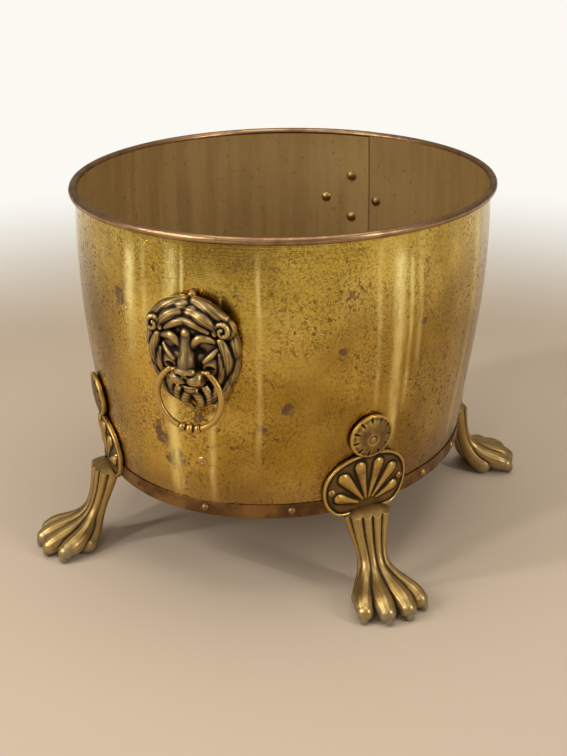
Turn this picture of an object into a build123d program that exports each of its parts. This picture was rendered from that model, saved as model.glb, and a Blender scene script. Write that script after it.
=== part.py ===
from build123d import *
import math
import os

# Oval brass kindling bucket on four paw feet, with two lion masks that carry swinging rings.
# Millimetres. The floor is Z = 0 and the origin lies under the middle of the body. The front mask
# faces -Y, the rear mask faces +Y.

# Body: an oval that is longer from mask to mask than from side to side
leg_height = 76.0           # floor to the underside of the base pan
wall_height = 237.0         # underside of the base pan to the middle of the rolled rim
base_radius = 171.5         # mean outside radius at the base pan
belly_radius = 185.8        # mean outside radius where the wall is widest
belly_height = 178.0        # height of that widest place above the base pan's underside
belly_fullness = 1.45       # more than 1 keeps the wall steep near the base pan
mouth_drop = 2.4            # how far the mean radius falls again from the belly to the rim
base_oval = 13.2            # half the difference of the oval's half-axes at the base pan
rim_oval = 5.4              # the same at the rim
wall_stations = 7           # oval sections that the wall surfaces pass through

# Sheets, lap seams and rolled rim
sheet = 1.0                 # thickness of the wall sheets
lap_tail = 13.5             # how far the outer sheet reaches past the mask's middle, towards -X
lap_edge = 19.0             # where the inner sheet ends on the other side, towards +X
joggle = 3.0                # length over which the outer sheet steps out to lie over the inner one
lap_gap = 0.05              # gap between the two sheets in the lap
lap_clear = 0.3             # gap between the lap's ends and the band below or the roll above
bead_radius = 3.5           # outside radius of the rolled rim
wire_radius = 2.4           # wire inside the rolled rim
bead_inset = 0.05           # how far the roll stands in from the sheet's inside, outwards

# Base pan
pan_sheet = 1.0
band_height = 12.2          # height of the turned-up band
band_fit = 0.10             # gap between the wall and the band
band_edge = 0.8             # rounding of the pan's lower outside edge

# Rivets: shank radius, head radius, head height
band_rivet = (1.6, 3.4, 2.3)
leg_rivet = (1.6, 3.2, 1.7)
roundel_rivet = (1.6, 3.6, 1.2)
mask_rivet = (2.0, 5.0, 2.2)
ball_rivet = (1.6, 3.2, 4.6)
seam_rivet = (2.0, 4.3, 1.4)
seam_dimple = (1.5, 0.8)    # radius and depth of the dimple in a seam rivet
closing_head = (2.6, 1.0)   # radius and height of the head that closes a rivet on its other side
head_clear = 0.5            # gap round a head that sits in a leg's plate
ball_clear = 0.3            # gap round the ball above the mask
rivet_fit = 0.05            # gap round a shank
seat_gap = 0.10             # gap under a head and behind a casting
band_rivet_height = 6.0     # above the pan's underside
band_rivet_step = 22.5      # degrees between band rivets
band_rivets_missing = (337.5,)
seam_rivet_height = 48.8    # above the pan's underside

# Legs, seen along the leg's own outward direction
front_leg_angle = 43.5      # from the front mask, to either side
rear_leg_angle = 130.0
fan_half_width = 40.0       # palmette plate
fan_top = 50.0              # above the pan's underside
fan_shoulder = 25.0         # height of its widest place
fan_foot_half_width = 23.0
fan_foot_lean = 0.35        # rise of the outline where it leaves the foot
plate_drop = 4.0            # how far the plate reaches below the pan's underside
plate_thickness = 3.0
roundel_radius = 19.5
roundel_height = 66.5       # its middle, above the pan's underside
roundel_swell = 1.4         # how much thicker than the plate it is
lobe_length = 25.0
lobe_half_width = 5.0
lobe_relief = 2.6           # how far a lobe stands out of the plate
lobe_angles = (-66.0, -38.0, -13.0, 13.0, 38.0, 66.0)
lobe_spring = 14.0          # distance from the fan's root to a lobe's inner end
leg_rivet_side = 32.5       # from the leg's middle to the palmette's rivets
leg_rivet_height = 20.0
roundel_rivet_height = 64.0

# Leg shaft: height above the floor, distance out from the wall's foot, half-depth, half-width
shaft_top_gap = 0.3
shaft_drawn_height = 76.0   # leg height that the heights below belong to; they follow leg_height
shaft_stations = (
    (66.0, 7.5, 9.0, 17.8),
    (52.0, 11.5, 7.6, 14.6),
    (36.0, 17.5, 6.6, 11.2),
    (24.0, 24.0, 9.0, 12.6),
    (10.0, 35.0, 17.0, 19.0),
)
shaft_top_out = 6.0
shaft_top_half_depth = 9.6
shaft_top_half_width = 19.6

# Paw, measured out from the wall's foot
inner_toe = (53.0, 8.6)     # out and to the side, middle of the knuckle
outer_toe = (44.0, 22.5)
toe_size = (17.5, 8.6, 11.5)
toe_height = 10.0
inner_toe_splay = 4.0       # degrees
outer_toe_splay = 16.0
claw_size = (6.0, 3.6, 5.2)
claw_reach = 14.0           # from the knuckle's middle to the claw's middle
claw_height = 4.6
floor_block = (300.0, 200.0, 40.0)     # cuts the toes flat at the floor

# Lion mask: heights above the pan's underside, reliefs out from the wall's face
mask_half_width = 37.0
mask_top = 189.0
mask_bottom = 105.0
mask_widest = 158.0
mask_temple = (0.86, 9.0)   # share of the half-width, distance below the top
mask_jaw = (0.62, 14.0)     # share of the half-width, distance above the bottom
mask_edge_relief = 9.0
mask_hollow = 4.0           # thickness of the casting over its hollow back
mask_rivet_side = 26.5
mask_rivet_height = 170.0
mask_low_rivet_height = 151.0
ball_rivet_height = 193.8
lug_radius = 5.0
lug_relief = 2.2
mask_boss_radius = 5.0
mask_stud_reach = 6.0       # how far a blind rivet's hole goes into the casting
mask_depth = 40.0           # more than the casting's whole relief

# Ring handle
ring_radius = 27.0          # middle of the wire
ring_wire = 2.25
pivot_side = 16.0           # from the mask's middle to where the ring meets its pins
pivot_height = 135.6
pivot_relief = 15.0         # out from the wall's face
pin_radius = 1.8
pin_reach = 8.0             # inner end of each pin, from the mask's middle
pin_fit = 0.05
pin_boss = 3.0              # metal round each pin
socket_radius = 6.0         # hollow in the corner of the mouth where the ring turns
socket_gap = 0.45
collar_bead_width = 4.6
collar_bead_rounding = 1.9
collar_beads = ((-5.6, 3.7), (0.0, 4.9), (5.6, 3.7))   # place along the ring, radius

# Reach of cutting solids past what they cut
hole_reach = 10.0           # rivet holes through the sheets, either way
plate_hole_reach = 30.0     # rivet holes through a leg's plate
cut_reach = 60.0            # cuts that go right through a casting
cut_margin = 20.0           # above and below a casting
plate_reach = 40.0          # past the wall's widest place, for the blank of a leg's plate
plate_margin = 5.0          # above and below a leg's plate
lobe_zone = 80.0            # height in which the lobes are cut to the wall

# Values worked out from the sizes above
pan_under = leg_height
rim_middle = leg_height + wall_height
wall_foot = pan_under + pan_sheet + seat_gap
lap_foot = pan_under + band_height + lap_clear
lap_top = rim_middle - bead_radius - lap_clear
lap_outside = sheet + lap_gap
band_outside = band_fit + pan_sheet
casting_back = band_outside + seat_gap
mask_back = lap_outside + seat_gap


def wall_radius(height):
    """Mean outside radius of the wall at a height above the floor."""
    climb = max(height - pan_under, 0.0)
    if climb < belly_height:
        swell = math.sin(math.pi / 2 * climb / belly_height) ** belly_fullness
        return base_radius + (belly_radius - base_radius) * swell
    past_belly = (climb - belly_height) / (wall_height - belly_height)
    return belly_radius - mouth_drop * past_belly ** 2


def half_axes(height, out=0.0):
    """Half-axes of the oval along X and along Y, a distance out from the wall's outside."""
    climb = max(height - pan_under, 0.0)
    oval = base_oval + (rim_oval - base_oval) * climb / wall_height
    radius = wall_radius(height) + out
    return radius - oval, radius + oval


def plan_angle(height, x):
    """Angle of the oval, from +X, where it crosses x on the rear side."""
    return math.degrees(math.acos(x / half_axes(height)[0]))


def oval_arc(height, out, start, end):
    along_x, along_y = half_axes(height, out)
    arc = EllipticalCenterArc((0, 0), along_x, along_y, start, arc_size=end - start)
    return Pos(0, 0, height) * arc


def wall_reach(azimuth, height):
    """Distance from the axis to the wall, in a direction measured from the front mask towards +X."""
    along_x, along_y = half_axes(height)
    turn = math.radians(azimuth)
    return 1 / math.hypot(math.sin(turn) / along_x, math.cos(turn) / along_y)


def wall_point(azimuth, height):
    reach = wall_reach(azimuth, height)
    turn = math.radians(azimuth)
    return Vector(reach * math.sin(turn), -reach * math.cos(turn), height)


def wall_plane(azimuth, height, out=0.0):
    """Plane on the wall whose Z points straight out of it and whose Y points up along it."""
    along_x, along_y = half_axes(height)
    point = wall_point(azimuth, height)
    outwards = Vector(point.X / along_x ** 2, point.Y / along_y ** 2, 0)
    across = Vector(0, 0, 1).cross(outwards).normalized()
    climb = wall_point(azimuth, height + 1) - wall_point(azimuth, height - 1)
    normal = across.cross(climb).normalized()
    return Plane(origin=point + normal * out, x_dir=across, z_dir=normal)


def azimuth_at(x, height):
    """Azimuth of the front wall's point at x."""
    along_x, along_y = half_axes(height)
    return math.degrees(math.atan2(x, along_y * math.sqrt(1 - (x / along_x) ** 2)))


def stations(low, high):
    step = (high - low) / (wall_stations - 1)
    return [low + step * index for index in range(wall_stations)]


def closed_face(curves):
    """Face inside open curves that follow each other, joined end to end by straight lines."""
    edges = list(curves)
    for index, curve in enumerate(curves):
        following = curves[(index + 1) % len(curves)]
        edges.append(Line(curve @ 1, following @ 0))
    return make_face(edges)


def shell_section(height, inner, outer, start, end):
    return closed_face([oval_arc(height, outer, start, end), oval_arc(height, inner, end, start)])


def oval_solid(out, low, high):
    """The body's oval as a filled solid, its outside moved out by a distance."""
    sections = []
    for height in stations(low, high):
        along_x, along_y = half_axes(height, out)
        sections.append(Pos(0, 0, height) * Ellipse(along_x, along_y))
    return loft(sections)


def rolled_rim(start, end):
    """Rolled rim from one plan angle to another, as a tube round the wire."""
    path = oval_arc(rim_middle, bead_radius - sheet + bead_inset, start, end)
    section = Circle(bead_radius) - Circle(bead_radius - sheet)
    return sweep(Plane(origin=path @ 0, z_dir=path % 0) * section, path=path)


def left_sheet():
    sections = []
    for height in stations(wall_foot, rim_middle):
        edge = plan_angle(height, lap_edge)
        sections.append(shell_section(height, -sheet, 0, edge, 360 - edge))
    edge = plan_angle(rim_middle, lap_edge)
    return loft(sections) + rolled_rim(edge, 360 - edge)


def right_sheet():
    sections = []
    for height in stations(wall_foot, rim_middle):
        edge = plan_angle(height, lap_edge + lap_gap)
        sections.append(shell_section(height, -sheet, 0, -edge, edge))
    edge = plan_angle(rim_middle, lap_edge + lap_gap)
    body = loft(sections) + rolled_rim(-edge, edge)
    tail = lap_tongue()
    return body + tail + mirror(tail, about=Plane.XZ)


def lap_tongue():
    """Rear edge of the right sheet, stepped out so that it lies over the left sheet."""
    sections = []
    for height in stations(lap_foot, lap_top):
        root = plan_angle(height, lap_edge + joggle)
        step = plan_angle(height, lap_edge + 3 * lap_gap)
        tip = plan_angle(height, -lap_tail)
        outside = oval_arc(height, lap_outside, root, tip)
        inside = oval_arc(height, lap_gap, tip, step)
        embedded = oval_arc(height, -sheet / 2, step, root)
        sections.append(closed_face([outside, inside, embedded]))
    return loft(sections)


def rim_wire():
    along_x, along_y = half_axes(rim_middle, bead_radius - sheet + bead_inset)
    path = Pos(0, 0, rim_middle) * Ellipse(along_x, along_y).edge()
    return sweep(Plane(origin=path @ 0, z_dir=path % 0) * Circle(wire_radius), path=path)


def base_pan():
    outside = oval_solid(band_outside, pan_under, pan_under + band_height)
    outside = fillet(outside.edges().group_by(Axis.Z)[0], band_edge)
    inside = oval_solid(band_fit, pan_under + pan_sheet, pan_under + band_height + pan_sheet)
    return outside - inside


def dome(radius, height):
    """Rivet head, flat on Z = 0 and rising towards +Z."""
    sphere_radius = (radius ** 2 + height ** 2) / (2 * height)
    ball = Pos(0, 0, height - sphere_radius) * Sphere(sphere_radius)
    return ball & Cylinder(2 * radius, height, align=(Align.CENTER, Align.CENTER, Align.MIN))


def shank(radius, low, high):
    return Pos(0, 0, low) * Cylinder(radius, high - low, align=(Align.CENTER, Align.CENTER, Align.MIN))


def rivet(size, outside, inside):
    """Rivet along Z with its head on the outer face and a small closing head on the inner one."""
    shank_radius, head_radius, head_height = size
    head = Pos(0, 0, outside + seat_gap) * dome(head_radius, head_height)
    closing = Pos(0, 0, inside - seat_gap) * Rot(180, 0, 0) * dome(*closing_head)
    return shank(shank_radius, inside - seat_gap, outside + seat_gap) + head + closing


def rivet_hole(size, low, high):
    return shank(size[0] + rivet_fit, low, high)


def band_rivet_azimuths():
    """Directions of the band's rivets, leaving out those whose place a leg's plate takes."""
    legs = (front_leg_angle, rear_leg_angle, 360 - rear_leg_angle, 360 - front_leg_angle)
    count = round(360 / band_rivet_step)
    azimuths = [index * band_rivet_step for index in range(count)]
    return [azimuth for azimuth in azimuths
            if min(abs(azimuth - leg) for leg in legs) > band_rivet_step / 2]


def band_places():
    height = pan_under + band_rivet_height
    return {azimuth: wall_plane(azimuth, height) for azimuth in band_rivet_azimuths()}


def base_rivets():
    solids = []
    for azimuth, place in band_places().items():
        if azimuth not in band_rivets_missing:
            solids.append(place * rivet(band_rivet, band_outside, -sheet))
    return solids


def seam_rivet_solid(place):
    solid = rivet(seam_rivet, lap_outside, -sheet)
    dimple_radius, dimple_depth = seam_dimple
    top = lap_outside + seat_gap + seam_rivet[2]
    cut = Pos(0, 0, top) * Rot(180, 0, 0) * dome(dimple_radius, dimple_depth)
    return place * (solid - cut)


def ellipsoid(size):
    return scale(Sphere(1), by=size)


def leg_rivet_places(azimuth):
    """Two rivets in the palmette and one in the roundel, each straight out of the wall."""
    low = pan_under + leg_rivet_height
    turn = math.degrees(math.atan2(leg_rivet_side, wall_reach(azimuth, low)))
    return (
        (wall_plane(azimuth - turn, low), leg_rivet, plate_thickness),
        (wall_plane(azimuth + turn, low), leg_rivet, plate_thickness),
        (wall_plane(azimuth, pan_under + roundel_rivet_height), roundel_rivet,
         plate_thickness + roundel_swell),
    )


def fan_outline():
    """Palmette outline in the plane X = 0, Y to the side and Z up."""
    foot = (fan_foot_half_width, pan_under - plate_drop)
    shoulder = (fan_half_width, pan_under + fan_shoulder)
    crown = (0, pan_under + fan_top)
    right = Spline(foot, shoulder, crown, tangents=((1, fan_foot_lean), (-1, 0)))
    left = mirror(right, about=Plane.YZ)
    base = Line((-foot[0], foot[1]), foot)
    return make_face([right, left, base])


def leg_plate(azimuth):
    """Palmette and roundel, bent to the wall."""
    turn = Rot(0, 0, azimuth - 90)
    upright = Plane(origin=(0, 0, 0), x_dir=(0, 1, 0), z_dir=(1, 0, 0))
    reach = belly_radius + base_oval + plate_reach
    fan = turn * extrude(upright * fan_outline(), reach)
    disc = upright * Pos(0, pan_under + roundel_height) * Circle(roundel_radius)
    disc = turn * extrude(disc, reach)
    low = pan_under - plate_drop - plate_margin
    high = pan_under + roundel_height + roundel_radius + plate_margin
    back = oval_solid(casting_back, low, high)
    front = oval_solid(casting_back + plate_thickness, low, high)
    raised = oval_solid(casting_back + plate_thickness + roundel_swell, low, high)
    return (fan & front) + (disc & raised) - back


def leg_lobes(azimuth):
    """Six lobes that fan out of the root of the palmette."""
    lobes = []
    half_length = lobe_length / 2
    for angle in lobe_angles:
        middle = lobe_spring + half_length
        side = middle * math.sin(math.radians(angle))
        height = pan_under + middle * math.cos(math.radians(angle))
        turn = math.degrees(math.atan2(side, wall_reach(azimuth, height)))
        place = wall_plane(azimuth + turn, height, casting_back + plate_thickness)
        tilt = Rot(0, 0, 90 - angle)
        lobes.append(place * tilt * ellipsoid((half_length, lobe_half_width, lobe_relief)))
    return lobes


def leg_shaft(foot_reach):
    """Shaft that leans outwards from under the plate down to the paw, its own X pointing outwards."""
    top = (pan_under - shaft_top_gap, shaft_top_out, shaft_top_half_depth, shaft_top_half_width)
    sections = []
    stretch = leg_height / shaft_drawn_height
    drawn = [(height * stretch, *others) for height, *others in shaft_stations]
    for height, out, half_depth, half_width in [top] + drawn:
        sections.append(Pos(foot_reach + out, 0, height) * Ellipse(half_depth, half_width))
    return loft(sections)


def paw(foot_reach):
    """Four toes with claws, flat underneath where they stand on the floor."""
    pieces = []
    for out, side, splay in (inner_toe + (inner_toe_splay,), outer_toe + (outer_toe_splay,)):
        for sign in (-1, 1):
            place = Pos(foot_reach + out, sign * side, 0) * Rot(0, 0, sign * splay)
            pieces.append(place * Pos(0, 0, toe_height) * ellipsoid(toe_size))
            pieces.append(place * Pos(claw_reach, 0, claw_height) * ellipsoid(claw_size))
    return pieces


def leg(azimuth):
    foot_reach = wall_reach(azimuth, pan_under)
    turn = Rot(0, 0, azimuth - 90)
    lower = leg_shaft(foot_reach)
    for piece in paw(foot_reach):
        lower += piece
    below_floor = Pos(foot_reach, 0, -floor_block[2] / 2) * Box(*floor_block)
    casting = turn * (lower - below_floor)
    casting += leg_plate(azimuth)
    for lobe in leg_lobes(azimuth):
        casting += lobe - oval_solid(casting_back, pan_under - cut_margin, pan_under + lobe_zone)
    for place, size, thickness in leg_rivet_places(azimuth):
        casting -= place * rivet_hole(size, 0, plate_hole_reach)
        seat = casting_back + thickness
        casting -= place * shank(size[1] + head_clear, seat, seat + cut_margin)
    return casting


def leg_rivets(azimuth):
    solids = []
    for place, size, thickness in leg_rivet_places(azimuth):
        solids.append(place * rivet(size, casting_back + thickness, -sheet))
    return solids


def mask_places():
    """Rivets of the front mask: place and size."""
    side = mask_rivet_height + pan_under
    low = mask_low_rivet_height + pan_under
    turn = azimuth_at(mask_rivet_side, side)
    return (wall_plane(-turn, side), wall_plane(turn, side), wall_plane(0, low))


def ball_place():
    return wall_plane(0, pan_under + ball_rivet_height)


def mask_front_y(height):
    return -half_axes(height)[1]


def relief_blob(x, height, relief, size):
    """Rounded lump of the mask whose front stands out from the wall by the relief."""
    y = mask_front_y(pan_under + pivot_height) - relief + size[1]
    return Pos(x, y, pan_under + height) * ellipsoid(size)


def mask_outline():
    """Outline of the mask in X and Z, as a face in the plane Y = 0."""
    crown = (0, pan_under + mask_top)
    temple = (mask_half_width * mask_temple[0], pan_under + mask_top - mask_temple[1])
    widest = (mask_half_width, pan_under + mask_widest)
    jaw = (mask_half_width * mask_jaw[0], pan_under + mask_bottom + mask_jaw[1])
    chin = (0, pan_under + mask_bottom)
    right = Spline(crown, temple, widest, jaw, chin, tangents=((1, 0), (-1, 0)))
    left = mirror(right, about=Plane.YZ)
    return Plane.XZ * make_face([right, left])


mask_skull = (0.0, 152.0, 17.0, (29.0, 17.0, 33.0))
mask_lumps = (
    # x, height, relief, half-sizes along X, Y and Z
    mask_skull,
    (0.0, 183.0, 19.0, (13.0, 12.0, 8.0)),      # forelock
    (0.0, 158.0, 23.5, (7.0, 12.0, 15.0)),      # bridge of the nose
    (0.0, 141.0, 27.0, (9.0, 13.0, 8.0)),       # nose
    (0.0, 134.0, 24.0, (13.0, 14.0, 9.0)),      # muzzle
    (0.0, 122.0, 19.0, (9.0, 12.0, 9.0)),       # chin
    (0.0, 112.0, 12.0, (13.0, 10.0, 9.0)),      # beard
)
mask_lump_pairs = (
    (11.0, 163.0, 21.5, (9.0, 9.0, 4.0)),       # brow
    (19.0, 150.0, 17.5, (6.0, 9.0, 7.0)),       # cheekbone
    (30.0, 171.0, 15.0, (7.5, 10.0, 8.0)),      # ear
    (24.0, 181.0, 14.0, (12.0, 10.0, 7.0)),     # mane above the ear
    (32.0, 152.0, 11.5, (5.5, 9.0, 14.0)),      # upper side lock
    (28.0, 132.0, 9.5, (6.0, 8.0, 14.0)),       # lower side lock
    (20.0, 117.0, 8.5, (6.5, 7.0, 10.0)),       # lock beside the beard
)


def lion_mask():
    """The front mask: a relief cast with a hollow back that fits the wall."""
    low = pan_under + mask_bottom - cut_margin
    high = pan_under + mask_top + cut_margin
    wall_back = oval_solid(mask_back, low, high)
    edge = oval_solid(mask_edge_relief, low, high)
    casting = extrude(mask_outline(), belly_radius + rim_oval + cut_reach) & edge
    for x, height, relief, size in mask_lumps:
        casting += relief_blob(x, height, relief, size)
    for x, height, relief, size in mask_lump_pairs:
        casting += relief_blob(x, height, relief, size)
        casting += relief_blob(-x, height, relief, size)
    casting += ball_place() * shank(lug_radius, 0, mask_back + lug_relief)
    x, height, relief, size = mask_skull
    hollow_size = tuple(half - mask_hollow for half in size)
    hollow = relief_blob(x, height, relief - mask_hollow, hollow_size)
    for place in mask_places():
        hollow -= place * shank(mask_boss_radius, 0, mask_depth)
    hollow -= pin_bosses()
    casting = casting - wall_back - hollow
    for sign in (-1, 1):
        casting -= pivot_cylinder(sign, pivot_side - ring_wire - socket_gap, cut_reach, socket_radius)
        casting -= pivot_cylinder(sign, pin_reach - pin_fit, cut_reach, pin_radius + pin_fit)
    for place in mask_places():
        casting -= place * rivet_hole(mask_rivet, 0, mask_back + mask_stud_reach)
    casting -= ball_place() * rivet_hole(ball_rivet, 0, cut_reach)
    casting -= ball_place() * shank(ball_rivet[1] + ball_clear, mask_back + lug_relief, mask_depth)
    return casting


def pivot_point(sign=0, side=0.0):
    y = mask_front_y(pan_under + pivot_height) - pivot_relief
    return Vector(sign * side, y, pan_under + pivot_height)


def pivot_cylinder(sign, start, end, radius):
    """Cylinder on the ring's hinge axis from one distance to another, on one side of the mask."""
    middle = pivot_point(sign, (start + end) / 2)
    return Pos(*middle) * Rot(0, 90, 0) * Cylinder(radius, end - start)


def pin_bosses():
    return pivot_cylinder(1, -pivot_side, pivot_side, pin_radius + pin_boss)


def ring_handle():
    """Open ring hanging from two short pins, with a collar of beads at its lowest place."""
    drop = math.sqrt(ring_radius ** 2 - pivot_side ** 2)
    centre = pivot_point() - Vector(0, 0, drop)
    opening = math.degrees(math.asin(pivot_side / ring_radius))
    section = Pos(0, 0, ring_radius) * Rot(0, 90, 0) * Circle(ring_wire)
    start = Rot(0, opening, 0) * section
    ring = Pos(*centre) * revolve(start, Axis((0, 0, 0), (0, 1, 0)), 360 - 2 * opening)
    for sign in (-1, 1):
        ring += Pos(*pivot_point(sign, pivot_side)) * Sphere(ring_wire)
        ring += pivot_cylinder(sign, pin_reach, pivot_side, pin_radius)
    for along, radius in collar_beads:
        disc = Cylinder(radius, collar_bead_width)
        bead = Pos(0, 0, -ring_radius) * Rot(0, 90, 0) * fillet(disc.edges(), collar_bead_rounding)
        ring += Pos(*centre) * Rot(0, math.degrees(along / ring_radius), 0) * bead
    return ring


def mask_rivets():
    """Ball-headed rivet above the mask and three blind rivets whose heads lie inside the bucket."""
    shank_radius, head_radius, head_height = mask_rivet
    solids = []
    for place in mask_places():
        head = Pos(0, 0, -sheet - seat_gap) * Rot(180, 0, 0) * dome(head_radius, head_height)
        tip = mask_back + mask_stud_reach - seat_gap
        solids.append(place * (shank(shank_radius, -sheet - seat_gap, tip) + head))
    solids.append(ball_place() * rivet(ball_rivet, mask_back + lug_relief, -sheet))
    return solids


def sheet_holes():
    """Every rivet hole that passes through the wall sheets."""
    holes = [place * rivet_hole(band_rivet, -hole_reach, hole_reach) for place in band_places().values()]
    for azimuth in (front_leg_angle, rear_leg_angle, -rear_leg_angle, -front_leg_angle):
        for place, size, _ in leg_rivet_places(azimuth):
            holes.append(place * rivet_hole(size, -hole_reach, hole_reach))
    front = [place * rivet_hole(mask_rivet, -hole_reach, hole_reach) for place in mask_places()]
    front.append(ball_place() * rivet_hole(ball_rivet, -hole_reach, hole_reach))
    front.append(seam_place() * rivet_hole(seam_rivet, -hole_reach, hole_reach))
    return holes + front + [mirror(hole, about=Plane.XZ) for hole in front]


def seam_place():
    return wall_plane(0, pan_under + seam_rivet_height)


def bored(part, holes):
    """The part with every hole cut out of it."""
    for hole in holes:
        part = part - hole
    return part


def rear(part):
    """The same piece at the rear mask: the front one turned half round."""
    return Rot(0, 0, 180) * part


def across(part):
    return mirror(part, about=Plane.YZ)


def write(name, shape):
    solids = shape if isinstance(shape, list) else [shape]
    export_step(Compound(children=[solid for item in solids for solid in item.solids()]),
                f"parts/{name}.step")


def main():
    os.makedirs("parts", exist_ok=True)
    holes = sheet_holes()
    write("sheet_left", bored(left_sheet(), holes))
    write("sheet_right", bored(right_sheet(), holes))
    write("rim_wire", rim_wire())
    write("base_pan", bored(base_pan(), holes))
    write("base_rivets", base_rivets())
    seam = seam_rivet_solid(seam_place())
    write("front_seam_rivet", seam)
    write("rear_seam_rivet", rear(seam))
    for end, azimuth in (("front", front_leg_angle), ("rear", rear_leg_angle)):
        casting = leg(azimuth)
        rivets = leg_rivets(azimuth)
        write(f"{end}_right_leg", casting)
        write(f"{end}_left_leg", across(casting))
        write(f"{end}_right_leg_rivets", rivets)
        write(f"{end}_left_leg_rivets", [across(solid) for solid in rivets])
    mask = lion_mask()
    rivets = mask_rivets()
    ring = ring_handle()
    write("front_lion_mask", mask)
    write("rear_lion_mask", rear(mask))
    write("front_mask_rivets", rivets)
    write("rear_mask_rivets", [rear(solid) for solid in rivets])
    write("front_ring_handle", ring)
    write("rear_ring_handle", rear(ring))


main()
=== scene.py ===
import math

import bpy
import numpy as np
from mathutils import Euler, Matrix, Vector


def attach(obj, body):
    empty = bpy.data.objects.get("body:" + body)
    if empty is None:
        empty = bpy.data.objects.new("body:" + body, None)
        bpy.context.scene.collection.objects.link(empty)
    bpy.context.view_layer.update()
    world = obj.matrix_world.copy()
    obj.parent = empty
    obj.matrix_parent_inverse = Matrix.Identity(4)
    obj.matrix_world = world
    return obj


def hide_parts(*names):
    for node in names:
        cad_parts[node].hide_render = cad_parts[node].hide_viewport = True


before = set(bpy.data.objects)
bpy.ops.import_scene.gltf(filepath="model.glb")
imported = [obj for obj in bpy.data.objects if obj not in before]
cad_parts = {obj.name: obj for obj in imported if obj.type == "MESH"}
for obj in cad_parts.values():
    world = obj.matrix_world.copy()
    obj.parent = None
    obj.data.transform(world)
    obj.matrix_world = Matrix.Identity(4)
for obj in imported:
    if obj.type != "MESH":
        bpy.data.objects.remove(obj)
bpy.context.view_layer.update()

# Oval brass kindling bucket. Sizes here are in millimetres, as on the drawing of the bucket, and
# MM turns them into metres. The floor is Z = 0, the front mask faces -Y.
MM = 0.001

leg_height = 76.0
wall_height = 237.0
pan_under = leg_height
rim_middle = leg_height + wall_height
base_radius = 171.5
belly_radius = 185.8
belly_height = 178.0
belly_fullness = 1.45
mouth_drop = 2.4
base_oval = 13.2
rim_oval = 5.4
sheet = 1.0
lap_tail = 13.5
lap_edge = 19.0
joggle = 3.0
lap_gap = 0.05
lap_clear = 0.3
bead_radius = 3.5
band_height = 12.2
band_outside = 1.1
pan_sheet = 1.0
wall_foot = pan_under + 1.1
casting_back = 1.2
mask_back = 1.15
ball_rivet_height = 193.8
empty_hole_azimuth = -22.5
empty_hole_height = 6.0
empty_hole_radius = 1.65
front_leg_angle = 43.5
rear_leg_angle = 130.0
ring_radius = 27.0
pivot_side = 16.0
pivot_height = 135.6
pivot_relief = 15.0



def half_axes(height, out=0.0):
    """Half-axes of the body's oval along X and Y at a height above the floor."""
    climb = np.maximum(np.asarray(height, float) - pan_under, 0.0)
    rise = np.minimum(climb / belly_height, 1.0)
    past = np.maximum(climb - belly_height, 0.0) / (wall_height - belly_height)
    radius = base_radius + (belly_radius - base_radius) * np.sin(math.pi / 2 * rise) ** belly_fullness
    radius = radius - mouth_drop * past ** 2 + out
    oval = base_oval + (rim_oval - base_oval) * climb / wall_height
    return radius - oval, radius + oval


def wall_reach(azimuth, height):
    """Distance from the axis to the wall in a direction, in degrees from the front mask to +X."""
    across, deep = half_axes(height)
    turn = np.radians(azimuth)
    return 1 / np.hypot(np.sin(turn) / across, np.cos(turn) / deep)


def on_wall(azimuth, height, out):
    """Points that stand out of the wall by a distance, as an array of X, Y and Z."""
    across, deep = half_axes(height)
    reach = wall_reach(azimuth, height)
    turn = np.radians(azimuth)
    x, y = reach * np.sin(turn), -reach * np.cos(turn)
    normal_x, normal_y = x / across ** 2, y / deep ** 2
    length = np.hypot(normal_x, normal_y)
    return np.stack([x + out * normal_x / length, y + out * normal_y / length,
                     height + 0 * x], axis=-1)


# Tools of the bench


def to_object_mode():
    if bpy.context.object and bpy.context.object.mode != "OBJECT":
        bpy.ops.object.mode_set(mode="OBJECT")
    bpy.ops.object.select_all(action="DESELECT")


def pick(*objects):
    to_object_mode()
    for obj in objects:
        obj.select_set(True)
    bpy.context.view_layer.objects.active = objects[0]


def apply_place(obj):
    pick(obj)
    bpy.ops.object.transform_apply(location=True, rotation=True, scale=True)


def points_of(obj):
    places = np.empty(len(obj.data.vertices) * 3)
    obj.data.vertices.foreach_get("co", places)
    return places.reshape(-1, 3) / MM


def move_points(obj, places):
    obj.data.vertices.foreach_set("co", (np.asarray(places) * MM).ravel())
    obj.data.update()


def modify(obj, kind, **settings):
    """Adds a modifier and applies it at once."""
    pick(obj)
    modifier = obj.modifiers.new(kind.lower(), kind)
    for name, value in settings.items():
        setattr(modifier, name, value)
    bpy.ops.object.modifier_apply(modifier=modifier.name)


def copy_of(obj):
    copy = obj.copy()
    copy.data = obj.data.copy()
    bpy.context.collection.objects.link(copy)
    return copy


def edit_all(obj):
    """Opens a piece in edit mode with everything selected."""
    pick(obj)
    bpy.ops.object.mode_set(mode="EDIT")
    bpy.ops.mesh.select_all(action="SELECT")


def join(objects):
    pick(*objects)
    bpy.ops.object.join()
    return bpy.context.object


def lump(place, size, turn=(0, 0, 0)):
    """Rounded lump with three half-sizes, turned by three angles in degrees."""
    to_object_mode()
    bpy.ops.mesh.primitive_ico_sphere_add(subdivisions=4, radius=MM, location=Vector(place) * MM)
    obj = bpy.context.object
    obj.scale = size
    obj.rotation_euler = Euler([math.radians(angle) for angle in turn])
    apply_place(obj)
    return obj


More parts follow.
